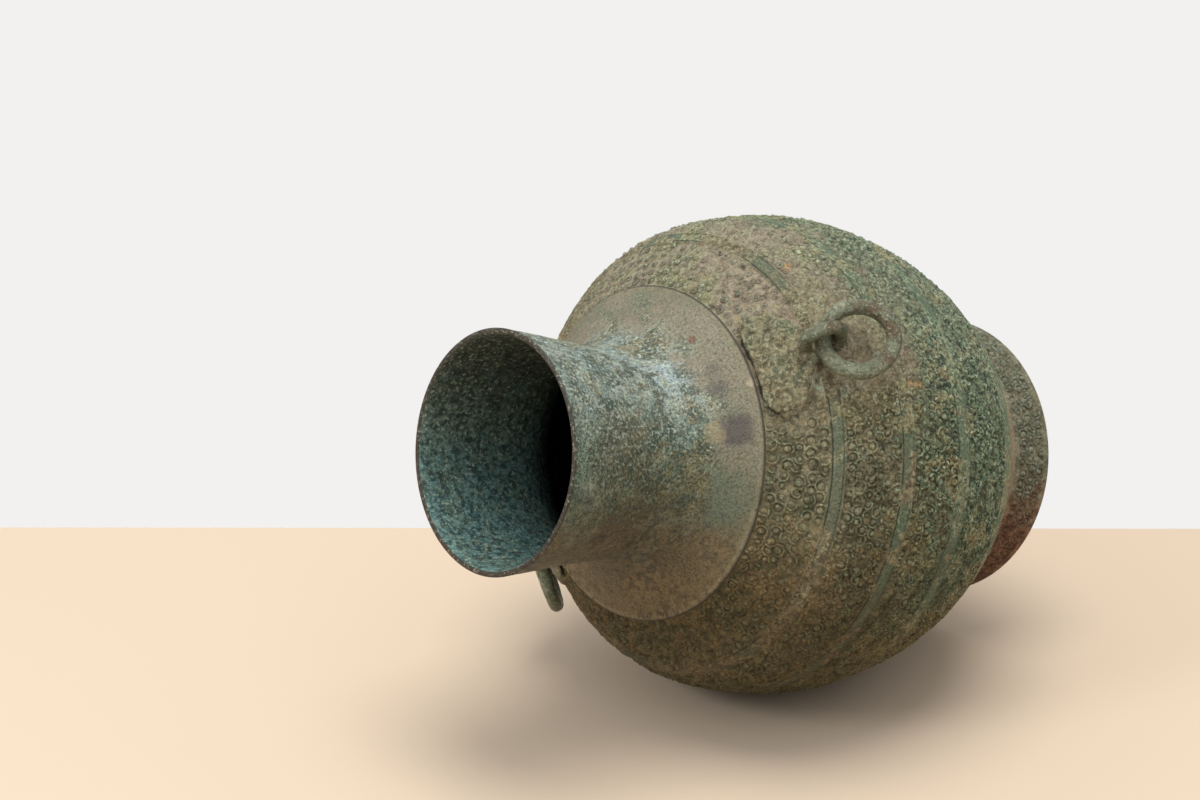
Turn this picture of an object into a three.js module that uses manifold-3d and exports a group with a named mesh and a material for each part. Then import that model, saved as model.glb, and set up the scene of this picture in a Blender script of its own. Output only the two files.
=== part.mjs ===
// Bronze jar of the hu form: pear-shaped body, foot ring, and two mask handles with loose rings.
// Millimetres, +Z up. The origin is the centre of the foot ring's lower edge; the handles face +X and -X.
import * as THREE from 'three';
import { mergeVertices } from 'three/addons/utils/BufferGeometryUtils.js';
import Module from 'manifold-3d';

const wasm = await Module();
wasm.setup();

// Clear space between two neighbouring castings.
const GAP = 0.3;

// Body of revolution. Stations give height and radius as shares of these two sizes.
const BODY_HEIGHT = 320;
const BELLY_RADIUS = 122;
const WALL = 3;
const LIP = 2.6;
const LIP_ROUND = 0.7;
const BODY_STATIONS = [
  [1, 0.47], [0.946, 0.454], [0.885, 0.434], [0.809, 0.4205], [0.774, 0.436], [0.74, 0.5],
  [0.699, 0.669], [0.66, 0.793], [0.622, 0.89], [0.584, 0.941], [0.507, 0.98], [0.431, 0.992],
  [0.354, 0.963], [0.278, 0.907], [0.201, 0.81], [0.125, 0.656], [0.0903, 0.557],
];
const SEGMENTS = 48;
const OUTER_STEP = 10;
const INNER_LEVELS = 20;

// Ornament bands: upper and lower edge as shares of the body height, and rows of knobs in each.
// Knobs rise from a sunk ground to above the plain strips between the bands.
const BANDS = [[0.699, 0.638], [0.621, 0.533], [0.507, 0.413], [0.379, 0.244]];
const KNOB_ROWS = [3, 3, 3, 5];
const RELIEF = 0.8;
const GROUND = 0.8;
const BAND_EDGE = 0.35;

// Underside of the body: a shallow dish with a locating collar inside the foot ring.
const DISH_DEPTH = 10;
const DISH_POWER = 2.2;
const COLLAR_DROP = 4;
const COLLAR_WALL = 3;

// Foot ring.
const FOOT_RIM_RADIUS = 74.6;
const FOOT_WALL = 4.4;
const FOOT_FLARE_POWER = 0.8;
const FOOT_BAND = [0.66, 0.1];
const FOOT_LEVELS = 5;

// Mask plate laid on the shoulder, its top just below the top band's edge. Lengths run along the surface.
const MASK_DROP = 1.28;
const MASK_LENGTH = 46;
const MASK_HALF_WIDTH = 25.5;
const MASK_OUTLINE = [
  [0, 0.62], [0.05, 0.86], [0.13, 0.97], [0.24, 1], [0.36, 0.96], [0.44, 0.84],
  [0.52, 0.58], [0.6, 0.38], [0.72, 0.29], [0.88, 0.27], [1, 0.17],
];
const MASK_PLATE = 1.7;
const MASK_COLUMNS = 15;
const MASK_ROWS = 15;
const PAD_MARGIN = 4;

// Face on the mask: heights above the plate, and places across from its middle line and down from its top.
const NOSE_HEIGHT = 2.6;
const NOSE_WIDTH = 3.6;
const NOSE_DOWN = 9;
const NOSE_RISE = 8;
const EYE_HEIGHT = 2.2;
const EYE_ACROSS = 9.5;
const EYE_DOWN = 15.5;
const EYE_RADIUS = 3.1;
const BROW_HEIGHT = 1.5;
const BROW_DOWN = 9.5;
const BROW_WIDTH = 1.7;
const BROW_ARCH_RADIUS = 41.7;
const BROW_ACROSS = 2;
const BROW_RISE = 3;
const CURL_HEIGHT = 1.1;
const CURL_WIDTH = 1.15;
const HORN_ACROSS = 19;
const HORN_DOWN = 9.5;
const HORN_RADIUS = 3.4;
const CHEEK_ACROSS = 13.5;
const CHEEK_DOWN = 20;
const CHEEK_RADIUS = 2.6;

// Nose loop, ending just above the plate's lower tip; its tenon through the wall; the spread head inside.
const LOOP_RADIUS = 8.8;
const BAR_RADIUS = 3;
const LOOP_MARGIN = 1.2;
const LOOP_ALONG = MASK_LENGTH - LOOP_MARGIN - BAR_RADIUS - LOOP_RADIUS;
const TENON_RADIUS = 4.5;
const HEAD_RADIUS = 7.5;
const HEAD_THICKNESS = 2.4;
const HEAD_SEAT = 1.5;

// Loose rings. Each lies swung sideways in its loop and lifted a little off the body, in degrees.
const RING_RADIUS = 16.4;
const RING_TUBE = 4;
const RING_SWING = 24;
const RING_LIFT = 4;

const rad = THREE.MathUtils.degToRad;

// Smooth curve through [position, value] stations in rising or falling order of position.
function throughStations(stations, at) {
  const rising = stations[0][0] < stations[stations.length - 1][0] ? stations : [...stations].reverse();
  const last = rising.length - 1;
  let i = 0;
  while (i < last - 1 && at > rising[i + 1][0]) i += 1;
  const slope = (k) => {
    const a = rising[Math.max(k - 1, 0)];
    const b = rising[Math.min(k + 1, last)];
    return (b[1] - a[1]) / (b[0] - a[0]);
  };
  const [x0, y0] = rising[i];
  const [x1, y1] = rising[i + 1];
  const span = x1 - x0;
  const t = THREE.MathUtils.clamp((at - x0) / span, 0, 1);
  const t2 = t * t;
  const t3 = t2 * t;
  return y0 * (2 * t3 - 3 * t2 + 1) + slope(i) * span * (t3 - 2 * t2 + t)
    + y1 * (3 * t2 - 2 * t3) + slope(i + 1) * span * (t3 - t2);
}

// Radius of the plain outer surface at height z.
function bodyRadius(z) {
  return BELLY_RADIUS * throughStations(BODY_STATIONS, z / BODY_HEIGHT);
}

function bodySlope(z) {
  return bodyRadius(z + 0.25) / 0.5 - bodyRadius(z - 0.25) / 0.5;
}

const JUNCTION_Z = BODY_STATIONS[BODY_STATIONS.length - 1][0] * BODY_HEIGHT;
const JUNCTION_RADIUS = bodyRadius(JUNCTION_Z);
const FOOT_TOP_RADIUS = JUNCTION_RADIUS - GAP;

// Height of the body's underside at radius r.
function dishHeight(r) {
  return JUNCTION_Z - DISH_DEPTH * (1 - (r / JUNCTION_RADIUS) ** DISH_POWER);
}

// Whether a place on the shoulder lies under a mask. The ground there is filled up to carry the plate.
function underMask(z, angle) {
  const top = BANDS[0][0] * BODY_HEIGHT - MASK_DROP;
  const along = (top - z) * Math.hypot(1, bodySlope((top + z) / 2));
  if (along < -PAD_MARGIN || along > MASK_LENGTH + PAD_MARGIN) return false;
  const share = THREE.MathUtils.clamp(along / MASK_LENGTH, 0, 1);
  const across = Math.asin(Math.abs(Math.sin(angle))) * bodyRadius(z);
  return across < MASK_HALF_WIDTH * throughStations(MASK_OUTLINE, share) + PAD_MARGIN;
}

const circle = (count, at) => Array.from({ length: count }, (_, k) => at(2 * Math.PI * k / count, k));

// Ring of points at one radius and height.
const levelRing = (radius, z) => circle(SEGMENTS, (angle) => ({
  x: radius * Math.cos(angle), y: radius * Math.sin(angle), z, lift: 0,
}));

// Ring on the outer surface at height z, each point lifted along the surface's normal.
const surfaceRing = (count, z, liftAt) => circle(count, (angle, k) => {
  const slope = bodySlope(z);
  const lift = liftAt(angle, k);
  const outward = lift / Math.hypot(1, slope);
  const radius = bodyRadius(z) + outward;
  return { x: radius * Math.cos(angle), y: radius * Math.sin(angle), z: z - slope * outward, lift };
});

// Rings of the outer surface from the foot junction up to the lip.
function outerRings() {
  const rings = [];
  let from = JUNCTION_Z;
  const plainTo = (top) => {
    const steps = Math.ceil((top - from) / OUTER_STEP);
    for (let i = 0; i <= steps; i += 1) {
      rings.push(surfaceRing(SEGMENTS, THREE.MathUtils.lerp(from, top, i / steps), () => 0));
    }
  };
  const sunk = (z) => (angle) => (underMask(z, angle) ? RELIEF : -GROUND);
  for (let band = BANDS.length - 1; band >= 0; band -= 1) {
    const [top, bottom] = BANDS[band].map((share) => share * BODY_HEIGHT);
    const rows = KNOB_ROWS[band];
    plainTo(bottom);
    rings.push(surfaceRing(SEGMENTS, bottom + BAND_EDGE, sunk(bottom)));
    for (let row = 1; row <= rows; row += 1) {
      const z = THREE.MathUtils.lerp(bottom, top, row / (rows + 1));
      const knob = (angle, k) => ((row + k) % 2 === 0 ? RELIEF : sunk(z)(angle));
      rings.push(surfaceRing(2 * SEGMENTS, z, knob));
    }
    rings.push(surfaceRing(SEGMENTS, top - BAND_EDGE, sunk(top)));
    from = top;
  }
  plainTo(BODY_HEIGHT - LIP_ROUND);
  return rings;
}

// All rings of the body: underside and collar, outer surface, lip, and the inside down to its floor.
function bodyRings() {
  const bore = FOOT_TOP_RADIUS - FOOT_WALL;
  const collar = bore - GAP;
  const inner = collar - COLLAR_WALL;
  const rings = [[{ x: 0, y: 0, z: dishHeight(0), lift: 0 }]];
  rings.push(levelRing(inner / 2, dishHeight(inner / 2)));
  rings.push(levelRing(inner, dishHeight(inner)));
  rings.push(levelRing(inner, dishHeight(inner) - COLLAR_DROP));
  rings.push(levelRing(collar, dishHeight(inner) - COLLAR_DROP));
  rings.push(levelRing(collar, dishHeight(collar)));
  rings.push(...outerRings());
  const lip = bodyRadius(BODY_HEIGHT);
  rings.push(levelRing(lip - LIP_ROUND, BODY_HEIGHT));
  rings.push(levelRing(lip - LIP + LIP_ROUND, BODY_HEIGHT));
  const floorRim = JUNCTION_Z + 3 * WALL;
  for (let i = 0; i <= INNER_LEVELS; i += 1) {
    const z = THREE.MathUtils.lerp(BODY_HEIGHT - LIP_ROUND, floorRim, i / INNER_LEVELS);
    const offset = i === 0 ? LIP : WALL * Math.hypot(1, bodySlope(z));
    rings.push(levelRing(bodyRadius(z) - offset, z));
  }
  for (const share of [0.93, 0.8, 0.6, 0.35]) {
    const r = JUNCTION_RADIUS * share;
    rings.push(levelRing(r, dishHeight(r) + WALL * (1 + share / 4)));
  }
  rings.push([{ x: 0, y: 0, z: dishHeight(0) + WALL, lift: 0 }]);
  return rings;
}

// Closed skin over rings of 1, SEGMENTS or twice as many points. Each square is split through its lower
// corners, so that every knob is a point of its own.
function skinOver(rings) {
  const points = rings.flat();
  const index = [];
  let start = 0;
  for (let i = 0; i + 1 < rings.length; i += 1) {
    const next = start + rings[i].length;
    const count = Math.max(rings[i].length, rings[i + 1].length);
    const pick = (first, length, k) => first + Math.floor(k * length / count) % length;
    for (let k = 0; k < count; k += 1) {
      const a = pick(start, rings[i].length, k);
      const b = pick(start, rings[i].length, k + 1);
      const c = pick(next, rings[i + 1].length, k + 1);
      const d = pick(next, rings[i + 1].length, k);
      const split = points[a].lift + points[c].lift <= points[b].lift + points[d].lift;
      const triangles = split ? [[a, b, c], [a, c, d]] : [[a, b, d], [b, c, d]];
      const whole = triangles.filter(([p, q, r]) => p !== q && q !== r && r !== p);
      index.push(...whole.flat());
    }
    start = next;
  }
  const geometry = new THREE.BufferGeometry();
  const flat = points.flatMap(({ x, y, z }) => [x, y, z]);
  geometry.setAttribute('position', new THREE.Float32BufferAttribute(flat, 3));
  geometry.setIndex(index);
  return geometry;
}

function footProfile() {
  const bore = FOOT_TOP_RADIUS - FOOT_WALL;
  const top = dishHeight(FOOT_TOP_RADIUS) - GAP;
  const flare = (z) => (z / top) ** FOOT_FLARE_POWER;
  const wallRadius = (z) => THREE.MathUtils.lerp(FOOT_RIM_RADIUS, FOOT_TOP_RADIUS, flare(z));
  const [bandTop, bandBottom] = FOOT_BAND.map((share) => share * top);
  const points = [new THREE.Vector2(FOOT_RIM_RADIUS - FOOT_WALL, 0)];
  points.push(new THREE.Vector2(FOOT_RIM_RADIUS, 0));
  points.push(new THREE.Vector2(wallRadius(bandBottom - BAND_EDGE), bandBottom - BAND_EDGE));
  for (let i = 0; i <= FOOT_LEVELS; i += 1) {
    const z = THREE.MathUtils.lerp(bandBottom + BAND_EDGE, bandTop - BAND_EDGE, i / FOOT_LEVELS);
    points.push(new THREE.Vector2(wallRadius(z) + RELIEF, z));
  }
  points.push(new THREE.Vector2(wallRadius(bandTop + BAND_EDGE), bandTop + BAND_EDGE));
  points.push(new THREE.Vector2(FOOT_TOP_RADIUS, top));
  points.push(new THREE.Vector2(bore, dishHeight(bore) - GAP));
  points.push(new THREE.Vector2(bore, top / 2));
  points.push(points[0].clone());
  return points;
}

// Closed solid from a geometry: welded, and without the flat triangles on a lathe's axis.
function toSolid(geometry) {
  const loose = geometry.index ? geometry.toNonIndexed() : geometry;
  const bare = new THREE.BufferGeometry();
  bare.setAttribute('position', loose.getAttribute('position').clone());
  const welded = mergeVertices(bare, 1e-4);
  const index = welded.index.array;
  const kept = [];
  for (let i = 0; i < index.length; i += 3) {
    const [a, b, c] = [index[i], index[i + 1], index[i + 2]];
    if (a !== b && b !== c && c !== a) kept.push(a, b, c);
  }
  return new wasm.Manifold(new wasm.Mesh({
    numProp: 3,
    vertProperties: new Float32Array(welded.getAttribute('position').array),
    triVerts: new Uint32Array(kept),
  }));
}

function toGeometry(solid) {
  const mesh = solid.getMesh();
  const geometry = new THREE.BufferGeometry();
  geometry.setAttribute('position', new THREE.BufferAttribute(new Float32Array(mesh.vertProperties), 3));
  geometry.setIndex(new THREE.BufferAttribute(new Uint32Array(mesh.triVerts), 1));
  geometry.computeVertexNormals();
  return geometry;
}

function revolve(profile) {
  return new THREE.LatheGeometry(profile, SEGMENTS).rotateX(Math.PI / 2);
}

// Point of the banded surface at distance s down the meridian from the mask's top edge.
function shoulderPoint(s) {
  const steps = Math.max(1, Math.ceil(Math.abs(s)));
  let z = BANDS[0][0] * BODY_HEIGHT - MASK_DROP;
  for (let i = 0; i < steps; i += 1) z -= (s / steps) / Math.hypot(1, bodySlope(z));
  const slope = bodySlope(z);
  const normal = new THREE.Vector3(1, 0, -slope).normalize();
  return { point: new THREE.Vector3(bodyRadius(z), 0, z).addScaledVector(normal, RELIEF), normal };
}

const smooth = (x, from, to) => THREE.MathUtils.smoothstep(x, from, to);
const ridge = (x, width) => Math.exp(-((x / width) ** 2));

// Relief of the mask above its plate: brows, eyes, nose, horn and cheek curls. It stops above the loop.
function maskRelief(across, along) {
  const side = Math.abs(across);
  const loopTop = LOOP_ALONG - LOOP_RADIUS;
  const faceEnd = loopTop - 2 * GAP;
  const nose = NOSE_HEIGHT * ridge(across, NOSE_WIDTH) * smooth(along, NOSE_DOWN, NOSE_DOWN + NOSE_RISE);
  const eye = EYE_HEIGHT * ridge(Math.hypot(side - EYE_ACROSS, along - EYE_DOWN), EYE_RADIUS);
  const arch = BROW_DOWN - side * side / (2 * BROW_ARCH_RADIUS);
  const browShare = smooth(side, BROW_ACROSS, BROW_ACROSS + BROW_RISE);
  const brow = BROW_HEIGHT * ridge(along - arch, BROW_WIDTH) * browShare;
  const curl = (x, y, radius) => CURL_HEIGHT * ridge(Math.hypot(side - x, along - y) - radius, CURL_WIDTH);
  const curls = curl(HORN_ACROSS, HORN_DOWN, HORN_RADIUS) + curl(CHEEK_ACROSS, CHEEK_DOWN, CHEEK_RADIUS);
  const clear = 1 - smooth(along, faceEnd - RING_TUBE, faceEnd);
  return nose * (1 - smooth(along, loopTop, loopTop + BAR_RADIUS)) + (eye + brow + curls) * clear;
}

// Plate that follows the shoulder, built as a grid of columns across and rows down.
function maskPlate() {
  const positions = [];
  const layers = [true, false];
  layers.forEach((outside) => {
    for (let row = 0; row <= MASK_ROWS; row += 1) {
      const share = row / MASK_ROWS;
      const along = share * MASK_LENGTH;
      const half = MASK_HALF_WIDTH * throughStations(MASK_OUTLINE, share);
      const { point, normal } = shoulderPoint(along);
      for (let column = 0; column <= MASK_COLUMNS; column += 1) {
        const across = half * (2 * column / MASK_COLUMNS - 1);
        const lift = outside ? GAP + MASK_PLATE + maskRelief(across, along) : GAP;
        const radius = point.x + normal.x * lift;
        const angle = across / point.x;
        positions.push(radius * Math.cos(angle), radius * Math.sin(angle), point.z + normal.z * lift);
      }
    }
  });
  const stride = MASK_COLUMNS + 1;
  const layer = stride * (MASK_ROWS + 1);
  const index = [];
  const quad = (a, b, c, d) => index.push(a, b, c, a, c, d);
  for (let row = 0; row < MASK_ROWS; row += 1) {
    for (let column = 0; column < MASK_COLUMNS; column += 1) {
      const a = row * stride + column;
      quad(a, a + stride, a + stride + 1, a + 1);
      quad(layer + a, layer + a + 1, layer + a + stride + 1, layer + a + stride);
    }
    const left = row * stride;
    const right = left + MASK_COLUMNS;
    quad(left, layer + left, layer + left + stride, left + stride);
    quad(right, right + stride, layer + right + stride, layer + right);
  }
  for (let column = 0; column < MASK_COLUMNS; column += 1) {
    const top = column;
    const bottom = MASK_ROWS * stride + column;
    quad(top, top + 1, layer + top + 1, layer + top);
    quad(bottom, layer + bottom, layer + bottom + 1, bottom + 1);
  }
  const geometry = new THREE.BufferGeometry();
  geometry.setAttribute('position', new THREE.Float32BufferAttribute(positions, 3));
  geometry.setIndex(index);
  return geometry;
}

// Frame of the loop: origin on the banded surface, normal outward, down along the meridian.
const seat = shoulderPoint(LOOP_ALONG);
const seatNormal = seat.normal;
const seatDown = new THREE.Vector3(seatNormal.z, 0, -seatNormal.x);
const RING_HEIGHT = GAP + MASK_PLATE + GAP + RING_TUBE;
const hinge = seat.point.clone().addScaledVector(seatNormal, RING_HEIGHT);

function loopBar() {
  const points = [];
  const root = (sign) => {
    const { point } = shoulderPoint(LOOP_ALONG + sign * LOOP_RADIUS);
    return point.clone().addScaledVector(seatNormal, GAP + 0.55 * MASK_PLATE);
  };
  points.push(root(-1));
  for (let i = 0; i <= 8; i += 1) {
    const angle = Math.PI * (1 - i / 8);
    const point = hinge.clone().addScaledVector(seatDown, LOOP_RADIUS * Math.cos(angle));
    points.push(point.addScaledVector(seatNormal, LOOP_RADIUS * Math.sin(angle)));
  }
  points.push(root(1));
  const shape = new THREE.Shape().absarc(0, 0, BAR_RADIUS, 0, 2 * Math.PI);
  const path = new THREE.CatmullRomCurve3(points, false, 'centripetal');
  const settings = { steps: 18, curveSegments: 6, bevelEnabled: false, extrudePath: path };
  return new THREE.ExtrudeGeometry(shape, settings);
}

// Round bar along the loop's normal between two distances from the banded surface.
function normalBar(radius, from, to, sides) {
  const bar = new THREE.CylinderGeometry(radius, radius, to - from, sides);
  bar.applyQuaternion(new THREE.Quaternion().setFromUnitVectors(new THREE.Vector3(0, 1, 0), seatNormal));
  const centre = seat.point.clone().addScaledVector(seatNormal, (from + to) / 2);
  return bar.translate(centre.x, centre.y, centre.z);
}

function maskCasting() {
  const headTop = -(RELIEF + WALL + HEAD_SEAT);
  const headBottom = headTop - HEAD_THICKNESS;
  return toSolid(maskPlate())
    .add(toSolid(loopBar()))
    .add(toSolid(normalBar(TENON_RADIUS, headBottom, GAP + MASK_PLATE / 2, 20)))
    .add(toSolid(normalBar(HEAD_RADIUS, headBottom, headTop, 20)));
}

// Ring hung in the loop, with its centre in the direction given by the swing and the lift.
function ringGeometry() {
  const toward = seatDown.clone().multiplyScalar(Math.cos(rad(RING_SWING)));
  toward.add(new THREE.Vector3(0, -Math.sin(rad(RING_SWING)), 0));
  const across = new THREE.Vector3().crossVectors(toward, seatNormal).normalize();
  toward.multiplyScalar(Math.cos(rad(RING_LIFT))).addScaledVector(seatNormal, Math.sin(rad(RING_LIFT)));
  const square = new THREE.Vector3().crossVectors(across, toward);
  const centre = hinge.clone().addScaledVector(toward, RING_RADIUS);
  const pose = new THREE.Matrix4().makeBasis(across, toward, square).setPosition(centre);
  return new THREE.TorusGeometry(RING_RADIUS, RING_TUBE, 10, 32).applyMatrix4(pose);
}

const group = new THREE.Group();

function addPiece(name, solid, color, roughness) {
  const material = new THREE.MeshStandardMaterial({ color, metalness: 0.7, roughness });
  material.name = name;
  const mesh = new THREE.Mesh(toGeometry(solid), material);
  mesh.name = name;
  group.add(mesh);
}

const hole = toSolid(normalBar(TENON_RADIUS + GAP, -(RELIEF + 3 * WALL), 2 * RELIEF, 20));
const body = toSolid(skinOver(bodyRings())).subtract(hole).subtract(hole.rotate([0, 0, 180]));
addPiece('vessel', body, 0x6f7763, 0.62);
addPiece('foot_ring', toSolid(revolve(footProfile())), 0x5f6a55, 0.66);
const mask = maskCasting();
addPiece('mask_right', mask, 0x7b7a63, 0.6);
addPiece('mask_left', mask.rotate([0, 0, 180]), 0x77775f, 0.6);
const ring = toSolid(ringGeometry());
addPiece('ring_right', ring, 0x66705c, 0.5);
addPiece('ring_left', ring.mirror([1, 0, 0]), 0x667058, 0.5);

export default group;
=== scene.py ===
import math

import bpy
import numpy as np
from mathutils import Matrix, Vector


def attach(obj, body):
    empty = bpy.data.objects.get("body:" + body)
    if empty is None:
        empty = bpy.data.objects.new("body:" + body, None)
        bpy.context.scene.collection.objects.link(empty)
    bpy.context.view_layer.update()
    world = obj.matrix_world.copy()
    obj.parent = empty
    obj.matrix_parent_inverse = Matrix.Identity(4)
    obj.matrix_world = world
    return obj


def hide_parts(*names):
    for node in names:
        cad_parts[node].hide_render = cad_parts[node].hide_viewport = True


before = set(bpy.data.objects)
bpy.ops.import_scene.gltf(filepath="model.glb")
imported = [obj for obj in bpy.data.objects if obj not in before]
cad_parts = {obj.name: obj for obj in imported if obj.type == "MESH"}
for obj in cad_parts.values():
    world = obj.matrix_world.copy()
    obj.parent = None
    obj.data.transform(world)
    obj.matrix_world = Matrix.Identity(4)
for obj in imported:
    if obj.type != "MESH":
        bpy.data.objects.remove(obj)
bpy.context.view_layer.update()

MM = 0.001

# Sizes in millimetres, the same as the solids' sizes.
GAP = 0.3
BODY_HEIGHT = 320.0
BELLY_RADIUS = 122.0
WALL = 3.0
LIP = 2.6
# The body's outer curve: height as a share of BODY_HEIGHT, radius as a share of BELLY_RADIUS.
BODY_STATIONS = np.array([
    (1, 0.47), (0.946, 0.454), (0.885, 0.434), (0.809, 0.4205), (0.774, 0.436), (0.74, 0.5),
    (0.699, 0.669), (0.66, 0.793), (0.622, 0.89), (0.584, 0.941), (0.507, 0.98), (0.431, 0.992),
    (0.354, 0.963), (0.278, 0.907), (0.201, 0.81), (0.125, 0.656), (0.0903, 0.557),
])
# Upper and lower edge of each band as shares of BODY_HEIGHT, and its rows of knobs.
BANDS = ((0.699, 0.638), (0.621, 0.533), (0.507, 0.413), (0.379, 0.244))
BAND_ROWS = (5, 6, 6, 9)
EDGES = [share * BODY_HEIGHT for band in BANDS for share in band]
KNOB_PITCH = 5.6
RELIEF = 0.8
DISH_DEPTH = 10.0
DISH_POWER = 2.2
COLLAR_WALL = 3.0
COLLAR_DROP = 4.0
FOOT_RIM_RADIUS = 74.6
FOOT_WALL = 4.4
FOOT_FLARE_POWER = 0.8
FOOT_BAND = (0.66, 0.1)
MASK_DROP = 1.28
MASK_LENGTH = 46.0
MASK_HALF_WIDTH = 25.5
# The mask's outline: share of its length from the top, share of its half width.
MASK_OUTLINE = np.array([
    (0, 0.62), (0.05, 0.86), (0.13, 0.97), (0.24, 1), (0.36, 0.96), (0.44, 0.84),
    (0.52, 0.58), (0.6, 0.38), (0.72, 0.29), (0.88, 0.27), (1, 0.17),
])
MASK_PLATE = 1.7
LOOP_RADIUS = 8.8
BAR_RADIUS = 3.0
LOOP_MARGIN = 1.2
LOOP_ALONG = MASK_LENGTH - LOOP_MARGIN - BAR_RADIUS - LOOP_RADIUS
RING_RADIUS = 16.4
RING_TUBE = 4.0
TENON_RADIUS = 4.5
HEAD_RADIUS = 7.5
HEAD_THICKNESS = 2.4
HEAD_SEAT = 1.5

# Sizes of the visual surface in millimetres, and the numbers of points round it.
RELIEF_TOP = 0.74
RELIEF_GROUND = -1.05
LIP_CURVE = 0.8
LINE_INSET = 0.9
LINE_WIDTH = 0.4
FADE = 0.8
ROW_STEP = 0.5
COLUMNS = 1500
NECK_COLUMNS = 680
INSIDE_COLUMNS = 480
PLAIN_COLUMNS = 900
MASK_POINTS = 110
RING_STEPS = 220
RING_SIDES = 40
BAR_SIDES = 28

# How far the knobs stand off an even grid, as a share of its pitch.
JITTER = 0.42
# Where a knob's crescent lies: its direction from the start of the curl, its distance and its radius.
CRESCENT_TURN = 2.5
CRESCENT_AWAY = 3.1
CRESCENT_RADIUS = 1.15
# Where earth lies round the right mask, and how far it reaches.
EARTH_SPOT = np.array([104.0, 6.0, 205.0])
EARTH_REACH = 31

# Factors of the fixed pseudo-random numbers.
HASH_X, HASH_Y, HASH_Z, HASH_SALT = 127.1, 311.7, 74.7, 19.3
HASH_SCALE = 43758.5453
OCTAVE_SHIFT = 31.7

# The way the vase lies: this direction, in the vase's own frame, points straight up.
LYING_UP = Vector((0.677, 0.694, 0.247)).normalized()


def through(stations, at):
    """Smooth curve through (position, value) stations."""
    order = stations[np.argsort(stations[:, 0])]
    x, y = order[:, 0], order[:, 1]
    slope = np.empty_like(y)
    slope[0] = (y[1] - y[0]) / (x[1] - x[0])
    slope[-1] = (y[-1] - y[-2]) / (x[-1] - x[-2])
    slope[1:-1] = (y[2:] - y[:-2]) / (x[2:] - x[:-2])
    i = np.clip(np.searchsorted(x, at, side="right") - 1, 0, len(x) - 2)
    span = x[i + 1] - x[i]
    t = np.clip((at - x[i]) / span, 0, 1)
    return (y[i] * (2 * t**3 - 3 * t**2 + 1) + slope[i] * span * (t**3 - 2 * t**2 + t)
            + y[i + 1] * (3 * t**2 - 2 * t**3) + slope[i + 1] * span * (t**3 - t**2))


def body_radius(z):
    return BELLY_RADIUS * through(BODY_STATIONS, z / BODY_HEIGHT)


def outline(z):
    """Points (radius, height) of the body's outside."""
    return np.stack([body_radius(z), z], axis=1)


def body_slope(z):
    return (body_radius(z + 0.25) - body_radius(z - 0.25)) / 0.5


JUNCTION_Z = BODY_STATIONS[-1, 0] * BODY_HEIGHT
JUNCTION_RADIUS = body_radius(JUNCTION_Z)
FOOT_TOP_RADIUS = JUNCTION_RADIUS - GAP
FOOT_BORE = FOOT_TOP_RADIUS - FOOT_WALL


def dish_height(r):
    """Height of the body's underside, which bulges down inside the foot, at a radius."""
    return JUNCTION_Z - DISH_DEPTH * (1 - (r / JUNCTION_RADIUS) ** DISH_POWER)


def smooth(x, start, end):
    """0 at start, 1 at end, with a soft passage between them."""
    t = np.clip((x - start) / (end - start), 0, 1)
    return t * t * (3 - 2 * t)


def ridge(x, width):
    """1 where x is 0, fading over that width on both sides."""
    return np.exp(-((x / width) ** 2))


def hashed(total):
    value = np.sin(total) * HASH_SCALE
    return value - np.floor(value)


def scatter(i, j, salt):
    """A fixed pseudo-random number from 0 to 1 for each pair of whole numbers."""
    return hashed(i * HASH_X + j * HASH_Y + salt * HASH_Z)


def lattice(cell, salt):
    """The same for each cell of space."""
    return hashed(cell[..., 0] * HASH_X + cell[..., 1] * HASH_Y + cell[..., 2] * HASH_Z + salt * HASH_SALT)


def noise(points, size, salt=0, octaves=3, gain=0.5):
    """Smooth noise from 0 to 1 in space, with features of about that size in millimetres."""
    total, weight, amount = 0.0, 0.0, 1.0
    for octave in range(octaves):
        q = points / (size / 2**octave) + OCTAVE_SHIFT * octave
        cell = np.floor(q)
        f = q - cell
        f = f * f * (3 - 2 * f)
        value = 0.0
        for corner in range(8):
            d = np.array([corner & 1, corner >> 1 & 1, corner >> 2 & 1], float)
            share = np.prod(np.where(d == 1, f, 1 - f), axis=-1)
            value = value + share * lattice(cell + d, salt + octave)
        total = total + amount * value
        weight += amount
        amount *= gain
    return total / weight


# Meshes

def around(columns):
    """Angles of that many columns round the axis."""
    return np.arange(columns) * 2 * np.pi / columns


def polar(radius, angle, height):
    return np.stack([radius * np.cos(angle), radius * np.sin(angle), height], axis=-1)


def placed(name, data):
    """A new object that shows some data."""
    item = bpy.data.objects.new(name, data)
    bpy.context.collection.objects.link(item)
    return item


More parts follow.
